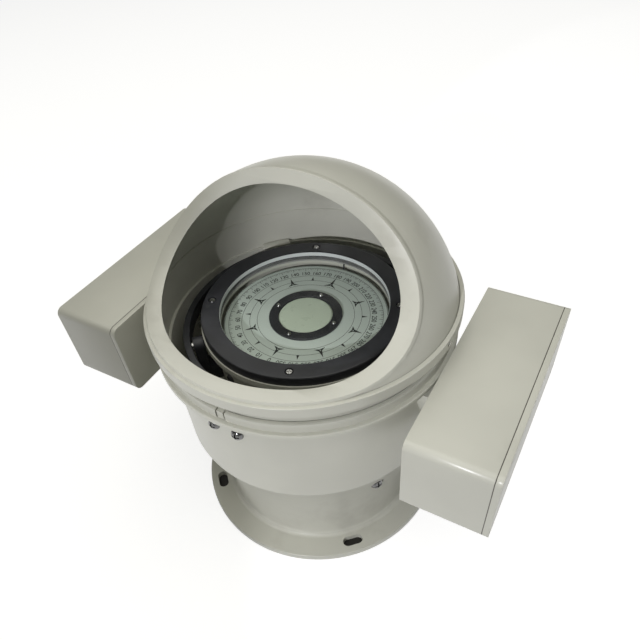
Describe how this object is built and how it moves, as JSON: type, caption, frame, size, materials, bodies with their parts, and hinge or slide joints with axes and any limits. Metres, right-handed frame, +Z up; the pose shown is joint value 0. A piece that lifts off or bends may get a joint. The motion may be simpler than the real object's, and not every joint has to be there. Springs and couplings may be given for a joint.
{
  "type": "liquid-filled compass",
  "caption": "Marine liquid compass in a cream table binnacle with a cut-away dome hood, gimballed bowl and soft-iron corrector boxes on both sides",
  "frame": {"origin": "centre of the base flange's underside, on the pedestal's axis", "axes": "+Z up along the pedestal; the hood opens towards -Y and the ship's bow is +Y; the corrector boxes lie athwartships along X"},
  "size_m": [0.3658, 0.24, 0.3106],
  "materials": {
    "cream_paint": "semi-gloss enamel",
    "black_paint": "satin",
    "steel": "machined",
    "dark_steel": "dull",
    "cast_dark": "as cast",
    "brass": "machined",
    "gasket_rubber": "matt",
    "clear_glass": "polished",
    "black_plastic": "matt",
    "card_green": "matt print"
  },
  "bodies": {
    "binnacle": {"pedestal": "cream_paint", "casing": "cream_paint", "casing_bolts": "steel", "lamp_bracket": "cream_paint", "lamp_bracket_screws": "steel", "lamp_holder": "black_plastic", "lamp_bulb": "clear_glass", "magnet_rack": "cast_dark", "rack_screws": "steel", "athwart_magnets": "dark_steel", "fore_aft_magnets": "dark_steel", "heeling_tube": "brass", "bearing_blocks": "cream_paint", "bearing_block_screws": "steel", "outer_pivot_pins": "steel", "starboard_box": "cream_paint", "starboard_cover": "cream_paint", "starboard_iron_plates": "cast_dark", "starboard_saddle": "cream_paint", "port_box": "cream_paint", "port_cover": "cream_paint", "port_iron_plates": "cast_dark", "port_saddle": "cream_paint", "saddle_bolts": "steel", "cover_screws": "steel"},
    "gimbal": {"gimbal_ring": "black_paint", "inner_pivot_pins": "steel"},
    "bowl": {"pivot_arms": "black_paint", "arm_screws": "steel", "bowl_shell": "cream_paint", "glass_gasket": "gasket_rubber", "top_glass": "clear_glass", "bezel": "black_paint", "bezel_screws": "steel", "lubber_pointer": "black_paint", "filler_plug": "brass", "pivot_bridge": "brass", "pivot_pin": "steel", "expansion_diaphragm": "brass", "bottom_glass": "clear_glass", "bottom_ring": "black_paint", "bottom_ring_screws": "steel", "balance_weight": "cast_dark"},
    "card": {"card_disc": "card_green", "card_float": "card_green", "jewel_cap": "brass", "card_magnets": "dark_steel", "card_window": "card_green", "card_clamp_ring": "black_plastic", "card_clamp_screws": "steel"},
    "hood": {"hood_dome": "cream_paint", "hood_trim": "cream_paint", "hood_ring": "cream_paint", "hood_set_screws": "dark_steel"},
    "heeling_bucket": {"magnet_bucket": "brass", "heeling_magnet": "dark_steel"}
  },
  "joints": [
    {"name": "gimbal_ring_tilt", "type": "hinge", "parent": "binnacle", "child": "gimbal", "pos_m": [0, 0, 0.187], "axis": [0.7071, -0.7071, 0], "range_deg": [-40, 40]},
    {"name": "bowl_tilt", "type": "hinge", "parent": "gimbal", "child": "bowl", "pos_m": [0, 0, 0.187], "axis": [0.7071, 0.7071, 0], "range_deg": [-40, 40]},
    {"name": "card_turn", "type": "hinge", "parent": "bowl", "child": "card", "pos_m": [0, 0, 0.1839], "axis": [0, 0, 1], "continuous": true},
    {"name": "hood_lift", "type": "slide", "parent": "binnacle", "child": "hood", "axis": [0, 0, 1], "range_m": [0, 0.12]},
    {"name": "heeling_magnet_slide", "type": "slide", "parent": "binnacle", "child": "heeling_bucket", "axis": [0, 0, 1], "range_m": [0, 0.035]}
  ]
}
